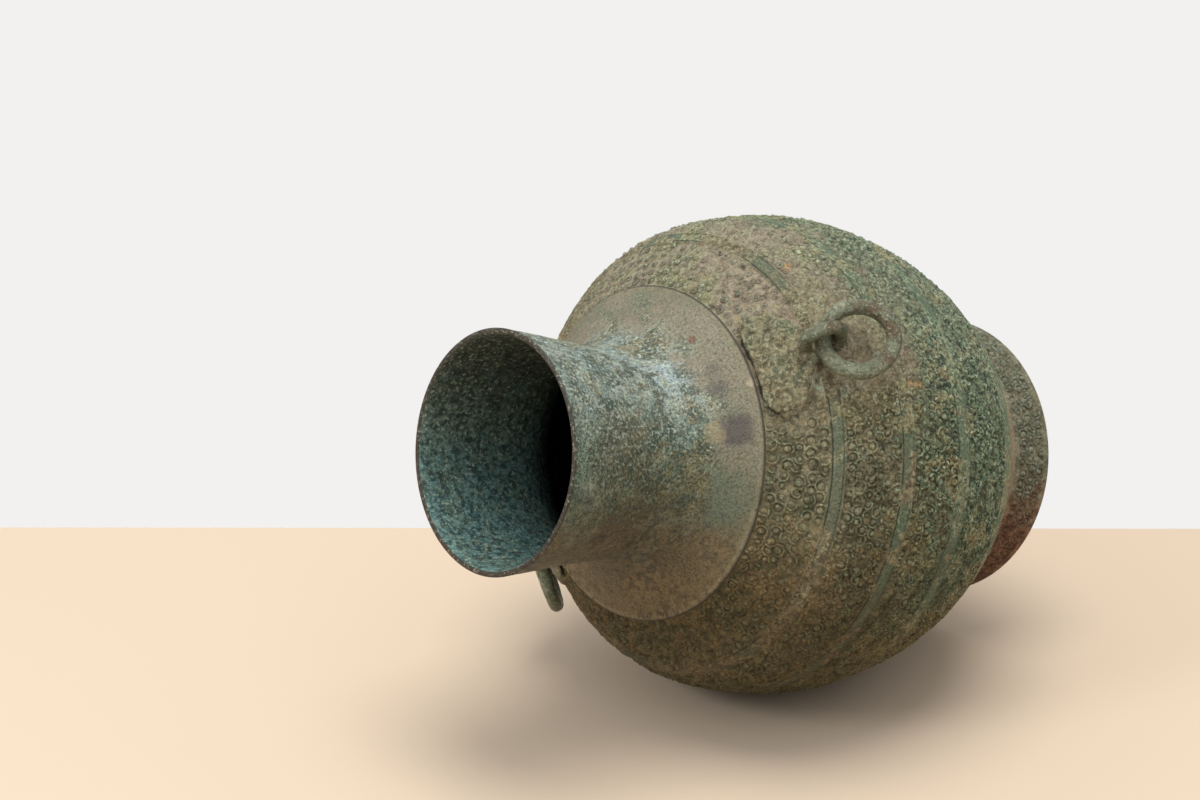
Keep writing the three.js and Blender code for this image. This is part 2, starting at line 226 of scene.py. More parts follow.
def grid_object(name, points, closed_columns=True, closed_rows=False, **layers):
    """Mesh of a grid of points. Each layer is a number per point that the materials read by name."""
    rows, columns = points.shape[:2]
    r = np.arange(rows if closed_rows else rows - 1)
    c = np.arange(columns if closed_columns else columns - 1)
    rr, cc = np.meshgrid(r, c, indexing="ij")
    r2, c2 = (rr + 1) % rows, (cc + 1) % columns
    corners = [rr * columns + cc, rr * columns + c2, r2 * columns + c2, r2 * columns + cc]
    quads = np.stack(corners, axis=-1).reshape(-1, 4)
    mesh = bpy.data.meshes.new(name)
    mesh.vertices.add(rows * columns)
    mesh.vertices.foreach_set("co", (points.reshape(-1) * MM).astype(np.float32))
    mesh.loops.add(quads.size)
    mesh.loops.foreach_set("vertex_index", quads.reshape(-1).astype(np.int32))
    mesh.polygons.add(len(quads))
    mesh.polygons.foreach_set("loop_start", np.arange(0, quads.size, 4, dtype=np.int32))
    mesh.update(calc_edges=True)
    for key in ("relief", "cavity", "earth"):
        values = np.broadcast_to(np.asarray(layers.get(key, 0.0), float), (rows, columns))
        layer = mesh.attributes.new(key, "FLOAT", "POINT")
        layer.data.foreach_set("value", values.reshape(-1).astype(np.float32))
    mesh.shade_smooth()
    return placed(name, mesh)


def join(name, parts):
    bpy.ops.object.select_all(action="DESELECT")
    for part in parts:
        part.select_set(True)
    bpy.context.view_layer.objects.active = parts[0]
    bpy.ops.object.join()
    parts[0].name = name
    return parts[0]


def revolved(profile, lift=0.0, columns=COLUMNS):
    """Points of a profile of (radius, height) turned round the axis; lift moves them along the normal."""
    profile = np.asarray(profile, float)
    tangent = np.gradient(profile, axis=0)
    normal = np.stack([tangent[:, 1], -tangent[:, 0]], axis=1)
    normal /= np.maximum(np.linalg.norm(normal, axis=1, keepdims=True), 1e-9)
    angle = around(columns)
    radius = profile[:, :1] + normal[:, :1] * lift
    height = profile[:, 1:] + normal[:, 1:] * lift
    return polar(radius, angle, height * np.ones(columns))


def surface_length(z):
    """Distance along the surface to each height from the first one."""
    return np.concatenate([[0], np.cumsum(np.hypot(np.diff(body_radius(z)), np.diff(z)))])


def meridian(z_top, z_bottom, step):
    """Heights from z_top down to z_bottom, evenly spaced along the surface, and the distance so far."""
    z = np.linspace(z_top, z_bottom, 2000)
    s = surface_length(z)
    count = max(3, math.ceil(s[-1] / step) + 1)
    along = np.linspace(0, s[-1], count)
    return np.interp(along, s, z), along


def one_curl(dx, ds, r, key, seed, swirl):
    """Height of a knob with its curl and crescent, and the painted shade in the grooves round them, at
    distances dx and ds from its centre.
    """
    d = np.hypot(dx, ds)
    start = 2 * np.pi * scatter(r, key, seed + 2)
    turn = np.mod(np.arctan2(ds, dx) - start, 2 * np.pi) / (2 * np.pi)
    size = 0.75 + 0.4 * scatter(r, key, seed + 3)
    tall = 0.7 + 0.3 * scatter(r, key, seed + 4)
    groove = d - (0.6 + 0.5 * turn) * size
    crown = 0.24 * ridge(groove, 0.28)
    knob = tall * np.exp(-((d / (1.55 * size)) ** 2.6)) - crown * tall
    arc = smooth(turn, 0.02, 0.12) * smooth(turn, 0.72, 0.5)
    curl = 0.78 * swirl * ridge(d - (2.3 + 1.3 * turn) * size, 0.55) * arc
    # A crescent off to one side.
    off = start + CRESCENT_TURN
    ex, es = dx - CRESCENT_AWAY * np.cos(off), ds - CRESCENT_AWAY * np.sin(off)
    bend = np.cos(np.arctan2(es, ex) - off)
    crescent = 0.48 * swirl * ridge(np.hypot(ex, es) - CRESCENT_RADIUS, 0.42) * smooth(bend, -0.3, 0.3)
    # Painted shade in the groove round the knob's crown, round its foot and along the curl's outer side.
    line = np.maximum(0.8 * ridge(d - 1.9 * size, 0.36), 0.6 * ridge(groove, 0.22))
    line = np.maximum(line, 0.65 * swirl * ridge(d - (3.15 + 1.3 * turn) * size, 0.38) * arc)
    return np.maximum(np.maximum(knob, curl), crescent), tall * line


def curls(x, s, girth, length, rows, seed, swirl=1.0):
    """Height of the ornament and strength of the painted shade in its grooves, at distance x round and s
    down a band.

    Domed knobs with a groove round their crown stand among C-shaped curls, some with small crescents
    between; swirl is the share of the curls' and crescents' height that is left.
    """
    count = round(girth / KNOB_PITCH)
    pitch_x = girth / count
    pitch_s = length / rows
    row = np.floor(s / pitch_s)
    shape = np.broadcast(x, s).shape
    height, cavity = np.zeros(shape), np.zeros(shape)
    for r in (row - 1, row, row + 1):
        inside = (r >= 0) & (r < rows)
        stagger = 0.5 * np.mod(r, 2)
        column = np.floor(x / pitch_x - stagger)
        for c in (column - 1, column, column + 1):
            key = np.mod(c, count)
            dx = x - (c + 0.5 + stagger + JITTER * (scatter(r, key, seed) - 0.5)) * pitch_x
            ds = s - (r + 0.5 + JITTER * (scatter(r, key, seed + 1) - 0.5)) * pitch_s
            raised, line = one_curl(dx, ds, r, key, seed, swirl)
            height = np.maximum(height, np.where(inside, raised, 0))
            cavity = np.maximum(cavity, np.where(inside, line, 0))
    return height, cavity * (1 - 0.7 * height)


def plate_along(z):
    """Distance along the surface, down from the masks' upper edge."""
    heights = np.linspace(EDGES[7], BODY_HEIGHT, 800)
    length = surface_length(heights)
    return np.interp(EDGES[0] - MASK_DROP, heights, length) - np.interp(z, heights, length)


def beyond_plate(angle, z):
    """Distance from the outline of the nearer mask, below 0 under the mask."""
    along = plate_along(z)[:, None]
    across = np.abs(np.mod(angle + np.pi / 2, np.pi) - np.pi / 2)[None, :] * body_radius(z)[:, None]
    half = MASK_HALF_WIDTH * through(MASK_OUTLINE, np.clip(along / MASK_LENGTH, 0, 1))
    return np.maximum(across - half, np.maximum(-along, along - MASK_LENGTH))


def earth_cover(points):
    """Where earth and corrosion fill the ornament, 0 to 1: in patches, and all round the right mask."""
    patches = smooth(noise(points, 42, 3, 3), 0.5, 0.68)
    near = np.exp(-((np.linalg.norm(points - EARTH_SPOT, axis=-1) / EARTH_REACH) ** 2))
    return np.clip(0.55 * patches + 0.85 * near, 0, 1)


# The body

def strip_piece(number, top, bottom):
    """Plain zone between two bands, with an incised line at each edge."""
    z, along = meridian(top, bottom, ROW_STEP)
    profile = outline(z)[::-1]
    from_top, from_bottom = along[::-1, None], (along[-1] - along)[::-1, None]
    base = revolved(profile)
    lines = ridge(from_top - LINE_INSET, LINE_WIDTH) + 0.7 * ridge(from_bottom - LINE_INSET, LINE_WIDTH)
    groove = -0.5 * lines
    ends = smooth(from_top, 0, LINE_INSET) * smooth(from_bottom, 0, LINE_INSET)
    crust = noise(base, 3.2, 11, 4, 0.65) - 0.5
    crumbs = noise(base, 1.9, 41, 2, 0.6) - 0.5
    more_earth = smooth(noise(base, 20, 33, 4, 0.6), 0.46, 0.58)
    earth = np.clip(earth_cover(base) + 0.9 * more_earth, 0, 1)
    lift = groove * (1 - 0.7 * earth)
    lift += ends * (0.35 * crust + 0.2 * crumbs + earth * (0.2 + 1.7 * crust + 0.7 * crumbs))
    # Painted shade in the incised lines.
    cavity = np.clip(-1.6 * groove * (1 - 0.8 * earth), 0, 1)
    points = revolved(profile, np.minimum(lift, RELIEF_TOP))
    return grid_object("body_strip_%d" % number, points, cavity=cavity, earth=earth)


def swirl_left(number, angle):
    """Share of the curls' height that is left: less on the vase's upper side, and least in band 1."""
    upper = np.cos(angle) * LYING_UP.x + np.sin(angle) * LYING_UP.y
    upper = upper / math.hypot(LYING_UP.x, LYING_UP.y)
    return (1 - (0.8 if number == 1 else 0.4) * smooth(upper, 0.3, 0.8))[None, :]


def band_pieces(number, top, bottom, rows):
    """One band of ornament, in two pieces: a is its lower half, b its upper half."""
    angle = around(COLUMNS)
    z, along = meridian(top, bottom, ROW_STEP)
    middle = body_radius(z).mean()
    z, s = z[::-1], along[::-1, None]
    profile = outline(z)
    base = revolved(profile)
    earth = earth_cover(base)
    height, cavity = curls((angle * middle)[None, :], s, 2 * np.pi * middle, along[-1], rows,
                           7 * number, swirl_left(number, angle))
    fade = smooth(s, 0, FADE) * smooth(along[-1] - s, 0, FADE)
    worn = 0.7 + 0.35 * noise(base, 14, 5, 2) + 0.6 * (noise(base, 2.4, 45, 2, 0.7) - 0.3)
    height = np.clip(height * worn * (1 - 0.45 * earth), 0, 1)
    crust = noise(base, 3.4, 9, 3, 0.7) - 0.5
    crumbs = noise(base, 1.9, 41, 2, 0.6) - 0.5
    # The crust is thicker toward the foot.
    rough = min(0.1 + 0.3 * number, 1) * smooth(noise(base, 30, 31, 3), 0.4, 0.6)
    level = RELIEF_GROUND + 0.7 * earth * (0.5 + 2.4 * crust) + (0.4 + 2.2 * rough) * crust
    level += (0.3 + 1.4 * rough) * crumbs
    highest = RELIEF_TOP - (0.15 + 0.2 * rough) * (crumbs + 0.5)
    lift = np.minimum(level + (RELIEF_TOP - RELIEF_GROUND) * height, highest) * fade
    # Earth lies against the masks' sides; their upper edge stays open.
    outside = beyond_plate(angle, z) + 3 * crust
    below = plate_along(z)[:, None]
    heap = smooth(outside, 4.5, 0.3) * smooth(outside, -2.6, -1.2) * smooth(below, 4, 9)
    lift += (2.3 + 1.2 * crust - lift) * heap * fade
    # Painted shadow along the masks' outline near their upper edge.
    cavity = np.maximum(cavity, 1.3 * ridge(outside - 0.3, 0.6) * smooth(below, 8, 2))
    points = revolved(profile, lift)
    relief = height * fade * (0.55 + 0.8 * crust + 0.6 * crumbs)
    cavity = cavity * fade * (1 - 0.6 * earth)
    half = len(points) // 2
    return [grid_object("body_band_%d%s" % (number, letter), points[part],
                        relief=relief[part], cavity=cavity[part], earth=earth[part])
            for letter, part in (("a", slice(0, half + 1)), ("b", slice(half, None)))]


def lower_piece():
    """Lower wall of the body, with its underside and the collar inside the foot."""
    z, _ = meridian(EDGES[7], JUNCTION_Z, 0.9)
    collar = FOOT_BORE - GAP
    inner = collar - COLLAR_WALL
    profile = [(r, dish_height(r)) for r in [0.01, *np.linspace(6, inner, 10)]]
    low = dish_height(inner) - COLLAR_DROP
    profile += [(inner + 0.3, low + 0.4), (inner + 0.8, low), (collar - 0.8, low), (collar - 0.3, low + 0.4)]
    profile += [(collar, dish_height(collar)), *outline(z)[::-1]]
    crust = noise(revolved(profile, columns=PLAIN_COLUMNS), 3.0, 9, 3, 0.65) - 0.5
    row = np.arange(len(profile))[:, None] - (len(profile) - len(z))
    lift = 0.6 * crust * smooth(row, 1, 4) * smooth(len(z) - 1 - row, 0, 3)
    return grid_object("body_lower", revolved(profile, lift, PLAIN_COLUMNS), earth=0.35)


def rim_points():
    """The rounded top of the lip, from outside to inside."""
    middle = body_radius(BODY_HEIGHT) - LIP / 2
    return [(middle + math.cos(a) * LIP / 2, BODY_HEIGHT - LIP_CURVE + LIP_CURVE * math.sin(a))
            for a in np.linspace(0.15, math.pi - 0.15, 7)]


def neck_piece():
    """Shoulder and neck from outside, with a raised line at the shoulder's edge, up over the lip."""
    z, _ = meridian(BODY_HEIGHT - LIP_CURVE, EDGES[0], 0.8)
    outer = outline(z)[::-1]
    rise = outer[:, 1] - EDGES[0]
    outer[:, 1] += 0.6 * ridge(rise - 0.8, 0.6)
    rim = rim_points()
    base = revolved(outer, columns=NECK_COLUMNS)
    dents = 0.3 * (noise(base, 7, 21, 4, 0.65) - 0.5)
    dents = dents * (1 - smooth(base[..., 2], 316, 319)) * smooth(rise, 1, 4)[:, None]
    # line is painted shade at the foot of the shoulder's raised line; edge is a paler band along it.
    line, edge = ridge(rise, 0.5)[:, None], ridge(rise - 1.2, 0.7)[:, None]
    # The lip has none of the dents and lines.
    dents, line, edge = (np.pad(layer, ((0, len(rim)), (0, 0))) for layer in (dents, line, edge))
    points = revolved([*outer, *rim], dents, NECK_COLUMNS)
    return grid_object("body_neck", points, relief=edge, cavity=line)


def inside_piece():
    """The whole inside, from the lip down to the middle of the bottom."""
    z = np.linspace(BODY_HEIGHT - LIP_CURVE, JUNCTION_Z + 3 * WALL, 120)
    offset = WALL * np.hypot(1, body_slope(z))
    offset[0] = LIP
    profile = rim_points()[-1:] + [*zip(body_radius(z) - offset, z)]
    for share in (0.93, 0.8, 0.6, 0.35, 0.0002):
        r = JUNCTION_RADIUS * share
        profile.append((r, dish_height(r) + WALL * (1 + share / 4)))
    return grid_object("body_inside", revolved(profile, columns=INSIDE_COLUMNS), relief=0.3)


def body_pieces():
    pieces = [strip_piece(i, EDGES[2 * i - 1], EDGES[2 * i]) for i in (1, 2, 3)]
    for number, rows in enumerate(BAND_ROWS, 1):
        pieces += band_pieces(number, EDGES[2 * number - 2], EDGES[2 * number - 1], rows)
    return pieces + [lower_piece(), neck_piece(), inside_piece()]


def foot_piece():
    """Foot, with its band of ornament outside."""
    top = dish_height(FOOT_TOP_RADIUS) - GAP
    under = dish_height(FOOT_BORE) - GAP
    inner_rim = FOOT_RIM_RADIUS - FOOT_WALL
    z = np.linspace(0.35, top - 0.5, 60)
    radius = FOOT_RIM_RADIUS + (FOOT_TOP_RADIUS - FOOT_RIM_RADIUS) * (z / top) ** FOOT_FLARE_POWER
    start = [(inner_rim, 0.0), (inner_rim + 1, 0.0),
             (FOOT_RIM_RADIUS - 1, 0.0), (FOOT_RIM_RADIUS - 0.3, 0.02)]
    end = [(FOOT_TOP_RADIUS - 0.4, top - 0.1), (FOOT_TOP_RADIUS - 1.2, top - 0.2), (FOOT_BORE + 0.5, under),
           (FOOT_BORE, under - 0.5), (FOOT_BORE, top / 2), (inner_rim - 0.4, 1.0), (inner_rim, 0.0)]
    profile = np.array(start + list(zip(radius, z)) + end)
    lift = np.zeros((len(profile), PLAIN_COLUMNS))
    relief, cavity = np.full_like(lift, 0.3), np.zeros_like(lift)
    band_top, band_bottom = FOOT_BAND[0] * top, FOOT_BAND[1] * top
    zone = slice(len(start), len(start) + len(z))
    s, length = (band_top - z)[:, None], band_top - band_bottom
    round_foot = (around(PLAIN_COLUMNS) * FOOT_RIM_RADIUS)[None, :]
    height, line = curls(round_foot, s, 2 * np.pi * FOOT_RIM_RADIUS, length, 3, 51)
    inside = smooth(s, 0, FADE) * smooth(length - s, 0, FADE)
    crust = noise(revolved(profile[zone], columns=PLAIN_COLUMNS), 2.6, 13, 3, 0.6) - 0.5
    lift[zone] = inside * np.minimum(-0.9 + 1.6 * height + 0.6 * crust, 0.6)
    relief[zone] = 0.3 * (1 - inside) + inside * height
    # Painted shade in the grooves of the foot's ornament.
    cavity[zone] = line * inside
    points = revolved(profile, lift, PLAIN_COLUMNS)
    return grid_object("foot_skin", points, relief=relief, cavity=cavity, earth=0.3)


# Handles

def shoulder_point(s):
    """The point of the right mask's bed that lies s down from its upper edge, and the normal there."""
    steps = max(1, math.ceil(abs(s)))
    z = EDGES[0] - MASK_DROP
    for _ in range(steps):
        z -= (s / steps) / math.hypot(1, body_slope(z))
    normal = Vector((1, 0, -body_slope(z))).normalized()
    return Vector((body_radius(z), 0, z)) + normal * RELIEF, normal


def mask_relief(across, along):
    """Height of the mask's face over its plate."""
    side = np.abs(across)
    nose = 2.6 * ridge(across, 3.6) * smooth(along, 9, 17)
    from_eye = np.hypot(side - 9.5, along - 15.5)
    eye = 2.2 * ridge(from_eye, 3.1)
    pupil = -0.5 * ridge(from_eye, 0.8)
    brow = 1.5 * ridge(along - 9.5 + 0.012 * side * side, 1.7) * smooth(side, 2, 5)
    horn = 1.1 * ridge(np.hypot(side - 19, along - 9.5) - 3.4, 1.2)
    cheek = 1.1 * ridge(np.hypot(side - 13.5, along - 20) - 2.6, 1.1)
    lines = 0.22 * np.sin(along * 3.2 + 0.35 * side) * smooth(side, 3, 6) * (1 - smooth(along, 6, 9))
    clear = 1 - smooth(along, 20, 23.5)
    return nose * (1 - smooth(along, 24, 27)) + (eye + pupil + brow + horn + cheek + lines) * clear


SEAT, SEAT_NORMAL = shoulder_point(LOOP_ALONG)
SEAT_DOWN = Vector((SEAT_NORMAL.z, 0, -SEAT_NORMAL.x))
HINGE = SEAT + SEAT_NORMAL * (GAP + MASK_PLATE + GAP + RING_TUBE)


def mask_row(share, half):
    """One row of points across the mask: its outer side, its inner side and its relief for the materials."""
    along = np.full(MASK_POINTS, share * MASK_LENGTH)
    point, normal = shoulder_point(share * MASK_LENGTH)
    flat = np.zeros(MASK_POINTS)
    x = np.linspace(-1, 1, MASK_POINTS)
    side = np.stack([along, 40 * np.sign(x), flat], axis=1)
    across = half * x * (1 + 0.16 * (noise(side, 5, 61, 3) - 0.5) * np.abs(x) ** 3)
    ledge = np.stack([across, flat, flat], axis=1)
    ragged = 3.2 * (noise(ledge, 5, 67, 3) - 0.5) * (1 - share) ** 8
    face = mask_relief(across, along)
    # The plate's edge is rounded over.
    edge = np.minimum((1 - np.abs(x)) * half, np.minimum(along, MASK_LENGTH - along) + 0.2)
    round_off = np.sqrt(1 - (1 - np.clip(edge / 1.3, 0, 1)) ** 2)
    angle = across / point.x
    reach, height = point.x + normal.z * ragged, point.z - normal.x * ragged
    spot = polar(reach, angle, height)
    crust = noise(spot, 4.6, 17, 4, 0.7) - 0.5 + 0.35 * (noise(spot, 1.7, 19, 2, 0.6) - 0.5)
    calm = smooth(along, 24, 19)
    lift = GAP + 0.25 + (MASK_PLATE - 0.25 + 0.7 * face + (0.3 + 1.9 * calm) * crust) * round_off
    outer, inner = (polar(reach + normal.x * out, angle, height + normal.z * out)
                    for out in (lift, flat + GAP))
    return outer, inner, np.clip(0.35 + face / 4 + 0.9 * crust, 0, 1) * round_off


def mask_plate():
    """The mask as a shell, and the two narrow strips that close its sides."""
    share = np.linspace(0, 1, MASK_POINTS)
    half = MASK_HALF_WIDTH * through(MASK_OUTLINE, share)
    top, bottom, relief = (np.array(part) for part in zip(*map(mask_row, share, half)))
    shell = np.concatenate([bottom[::-1], top], axis=0)
    relief = np.pad(relief, ((MASK_POINTS, 0), (0, 0)))
    plate = grid_object("plate", shell, False, closed_rows=True, relief=relief, earth=0.8)
    sides = [np.stack([top[:, 0], bottom[:, 0]], axis=1), np.stack([bottom[:, -1], top[:, -1]], axis=1)]
    return [plate] + [grid_object("side", side, False, relief=0.2, earth=0.5) for side in sides]


def swept(name, path, radius, sides, closed=False):
    """Round bar along a path of points, with an array of its radius at each."""
    path = np.asarray(path, float)
    tangent = np.gradient(path, axis=0)
    if closed:
        tangent = np.roll(path, -1, axis=0) - np.roll(path, 1, axis=0)
    tangent /= np.linalg.norm(tangent, axis=1, keepdims=True)
    first = np.cross(tangent, path.mean(axis=0) - path).mean(axis=0)
    first /= np.linalg.norm(first)
    second = np.cross(tangent, first)
    turn = around(sides)[None, :, None]
    ring = first[None, None, :] * np.cos(turn) + second[:, None, :] * np.sin(turn)
    points = path[:, None, :] + ring * radius[:, None, None]
    crust = noise(points, 2.4, 23, 3, 0.6) - 0.5
    points = points + ring * (0.3 * crust - 0.1)[..., None]
    return grid_object(name, points, closed_rows=closed, relief=0.75 + 0.6 * crust)


def loop_piece():
    """The loop that holds the ring: half a circle on two straight feet."""
    feet = [shoulder_point(along)[0] + SEAT_NORMAL * (GAP + 0.55 * MASK_PLATE)
            for along in (LOOP_ALONG - LOOP_RADIUS, LOOP_ALONG + LOOP_RADIUS)]
    ends = [HINGE - SEAT_DOWN * LOOP_RADIUS, HINGE + SEAT_DOWN * LOOP_RADIUS]
    path = [feet[0].lerp(ends[0], i / 6) for i in range(6)]
    for i in range(33):
        a = math.pi * (1 - i / 32)
        path.append(HINGE + SEAT_DOWN * (LOOP_RADIUS * math.cos(a))
                    + SEAT_NORMAL * (LOOP_RADIUS * math.sin(a)))
    path += [ends[1].lerp(feet[1], i / 6) for i in range(1, 7)]
    grip = BAR_RADIUS * (1.1 + 0.1 * np.abs(np.linspace(-1, 1, len(path))) ** 3)
    return swept("loop", path, grip, BAR_SIDES)


def tenon_piece():
    """The loop's tenon through the wall, with its head inside the vase."""
    low = -(RELIEF + WALL + HEAD_SEAT + HEAD_THICKNESS)
    head_top = low + HEAD_THICKNESS
    profile = [(0.01, low), (HEAD_RADIUS - 1.2, low), (HEAD_RADIUS - 0.3, low + 0.4),
               (HEAD_RADIUS, low + 1.2), (HEAD_RADIUS - 0.5, head_top), (TENON_RADIUS, head_top),
               (TENON_RADIUS, 0.9), (0.01, 0.9)]
    points = revolved(profile, columns=40)
    turn = Vector((0, 0, 1)).rotation_difference(SEAT_NORMAL).to_matrix()
    moved = points @ np.array(turn).T + np.array(SEAT)
    return grid_object("tenon", moved, relief=0.3)


def mask_pieces(name, side):
    """Plate and loop of one mask; side is 1 for the right one and -1 for the left one, half a turn away."""
    pieces = [join(name + "_plate", mask_plate()), join(name + "_loop", [loop_piece(), tenon_piece()])]
    if side < 0:
        for piece in pieces:
            piece.data.transform(Matrix.Rotation(math.pi, 4, "Z"))
    return pieces


def ring_piece(name, node):
    """Worn round ring in the place of the solid ring."""
    co = np.array([v.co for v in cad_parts[node].data.vertices]) / MM
    centre = (co.max(axis=0) + co.min(axis=0)) / 2
    _, _, axes = np.linalg.svd(co - co.mean(axis=0), full_matrices=False)
    turn = around(RING_STEPS)
    path = centre + RING_RADIUS * (np.cos(turn)[:, None] * axes[0] + np.sin(turn)[:, None] * axes[1])
    wear = RING_TUBE * (0.95 + 0.025 * np.sin(turn + 2.2) + 0.015 * np.sin(3 * turn + 0.6))
    return swept(name, path, wear, RING_SIDES, closed=True)


# Materials

def linear(r, g, b):
    """Scene colour of a colour given from 0 to 255."""
    def one(v):
        v = v / 255
        return v / 12.92 if v <= 0.04045 else ((v + 0.055) / 1.055) ** 2.4
    return (one(r), one(g), one(b), 1)


DARK = (36, 34, 26)
ORANGE = (204, 164, 110)
MINT = (192, 202, 174)
PLUM = (78, 72, 70)
# Painted shade under the vase, with the warmth of painted light bounced up from below.
SHADE_BELOW = (0.56, 0.46, 0.31, 1)

# Narrow and wide passages between two colours, as the low and high end of a field.
NARROW = (0.42, 0.58)
WIDE = (0.38, 0.62)

# Places of single spots and stains of the photograph, and of one painted highlight, in metres: centre, size
# and what else they need.
ORANGE_SPOTS = (
    ((0.1168, -0.0263, 0.1608), 0.0024), ((0.1173, -0.027, 0.1552), 0.0022),
    ((0.1152, -0.0283, 0.1689), 0.0016), ((0.1016, 0.0457, 0.1948), 0.0024))
MINT_SPOTS = (
    ((0.1007, -0.0168, 0.2062), 0.003), ((0.1013, -0.0229, 0.2044), 0.0022),
    ((0.107, -0.0255, 0.197), 0.0022), ((0.117, -0.0118, 0.1751), 0.0026))
NECK_PATCHES_AND_HIGHLIGHT = (
    ((0.0442, -0.029, 0.2824), 0.026, 0.85, (56, 54, 38), (98, 96, 70)),
    ((0.0126, -0.0508, 0.2766), 0.022, 0.8, (62, 50, 38), (92, 78, 58)),
    # These two pale blue-grey patches are a painted highlight on the neck's upper side.
    ((0.0527, 0.0087, 0.2472), 0.014, 0.6, (118, 134, 138), (162, 176, 178)),
    ((0.0489, 0.0166, 0.2533), 0.012, 0.4, (118, 134, 138), (162, 176, 178)))
GREEN_PATCHES = (((0.0474, -0.0486, 0.232), 0.015), ((0.0392, -0.0443, 0.2385), 0.013))
PLUM_STAINS = (
    ((0.0668, -0.0227, 0.2305), 0.0096, 0.85), ((0.0664, -0.0024, 0.2329), 0.006, 0.6),
    ((0.0669, 0.0081, 0.2323), 0.004, 0.45))
SHOULDER_SPOTS = (
    ((0.0619, 0.0272, 0.2322), 0.0028, 0.7, (112, 66, 44)),
    ((0.0575, -0.0204, 0.2368), 0.006, 0.6, (150, 138, 104)),
    ((0.0797, -0.006, 0.2248), 0.0024, 0.7, (186, 172, 146)))


class Nodes:
    """Builds the node tree of a material or of the world."""

    def __init__(self, owner):
        owner.use_nodes = True
        self.tree = owner.node_tree
        self.tree.nodes.clear()

    def add(self, kind, inputs=None, **settings):
        """A new node, with its inputs linked to other nodes' outputs or given plain values."""
        node = self.tree.nodes.new(kind)
        for key, value in settings.items():
            setattr(node, key, value)
        for key, value in (inputs or {}).items():
            if isinstance(value, bpy.types.NodeSocket):
                self.tree.links.new(value, node.inputs[key])
            else:
                node.inputs[key].default_value = value
        return node

    def span(self, value, low, high, to_low=0.0, to_high=1.0):
        """to_low where the value is at low, to_high where it is at high, with a soft passage between."""
        ends = {"Value": value, "From Min": low, "From Max": high, "To Min": to_low, "To Max": to_high}
        return self.add("ShaderNodeMapRange", ends, interpolation_type="SMOOTHSTEP").outputs["Result"]

    def math(self, operation, a, b):
        return self.add("ShaderNodeMath", {0: a, 1: b}, operation=operation).outputs[0]

    def vector(self, operation, *values):
        return self.add("ShaderNodeVectorMath", dict(enumerate(values)), operation=operation)

    def plus(self, a, b):
        return self.math("ADD", a, b)

    def minus(self, a, b):
        return self.math("SUBTRACT", a, b)

    def times(self, a, b):
        return self.math("MULTIPLY", a, b)

    def mix(self, share, a, b, blend="MIX"):
        """Two colours mixed; a colour of three numbers is given from 0 to 255."""
        a, b = (linear(*c) if isinstance(c, (tuple, list)) and len(c) == 3 else c for c in (a, b))
        inputs = {"Factor": share, 6: a, 7: b}
        return self.add("ShaderNodeMix", inputs, data_type="RGBA", blend_type=blend).outputs[2]

    def blended(self, share, a, b):
        """Two shaders mixed."""
        return self.add("ShaderNodeMixShader", {0: share, 1: a.outputs[0], 2: b.outputs[0]})

    def show(self, shader, kind="ShaderNodeOutputMaterial"):
        self.add(kind, {"Surface": shader.outputs[0]})


class Patina(Nodes):
    """Nodes of a bronze material, with the noise fields and places that its layers are painted by."""

    def __init__(self, owner):
        super().__init__(owner)
        self.colour = None
        self.place = self.add("ShaderNodeTexCoord").outputs["Object"]
        self.z = self.add("ShaderNodeSeparateXYZ", {0: self.place}).outputs["Z"]
        # Which side of the vase: near 1 on the upper side as it lies, near -1 underneath.
        flat = self.vector("MULTIPLY", self.place, (1, 1, 0)).outputs["Vector"]
        outward = self.vector("NORMALIZE", flat).outputs["Vector"]
        self.side = self.vector("DOT_PRODUCT", outward, LYING_UP).outputs["Value"]
        for key in ("relief", "cavity", "earth"):
            setattr(self, key, self.add("ShaderNodeAttribute", attribute_name=key).outputs["Fac"])
        self.broad = self.noise(14, 4, 0.6, 0.3)
        self.patch = self.noise(42, 7, 0.7, 0.3)
        self.mottle = self.noise(170, 7, 0.75)
        self.fine = self.noise(300, 6, 0.75)
        self.speck = self.noise(560, 5, 0.75)
        self.dust = self.noise(900, 4, 0.8)
        self.grain = self.noise(1600, 3, 0.7)

    def noise(self, scale, detail, roughness, distortion=0.0):
        inputs = {"Vector": self.place, "Scale": scale, "Detail": detail, "Roughness": roughness,
                  "Distortion": distortion}
        return self.add("ShaderNodeTexNoise", inputs).outputs["Fac"]

    def ragged(self, value, patch, mottle=0.0):
        """A value pushed up and down by the noise, so that what it decides has an uneven edge."""
        moved = self.plus(value, self.times(self.minus(self.patch, 0.5), patch))
        return self.plus(moved, self.times(self.minus(self.mottle, 0.5), mottle))

    def near(self, spot, radius, patch=2.2, mottle=2.4, outer=1.0, inner=0.55):
        """1 at a spot of the surface, fading to 0 at that radius, with a ragged edge. Both are in metres."""
        away = self.vector("DISTANCE", self.place, spot).outputs["Value"]
        return self.span(self.ragged(away, radius * patch, radius * mottle), radius * outer, radius * inner)

    def haze(self, spot, radius):
        """Like near, with a soft edge."""
        return self.near(spot, radius, 2.6, 0.8, 1.3, 0.3)

    def two(self, field, dark, light, low=0.4, high=0.6):
        """The dark colour where the field is at low, the light one where it is at high."""
        return self.mix(self.span(field, low, high), dark, light)

    def lay(self, share, top, blend="MIX"):
        """Lay a colour over what is painted so far."""
        self.colour = self.mix(share, self.colour, top, blend)

    def over(self, field, low, high, share, top):
        """Lay a colour over it, up to that share, as the field goes from low to high."""
        self.lay(self.span(field, low, high, 0.0, share), top)


def spotted(p, spots, spread, broken, tint):
    """Broken spots of one colour; spread scales their sizes."""
    for spot, size in spots:
        p.lay(p.times(p.near(spot, size * spread), broken), tint)


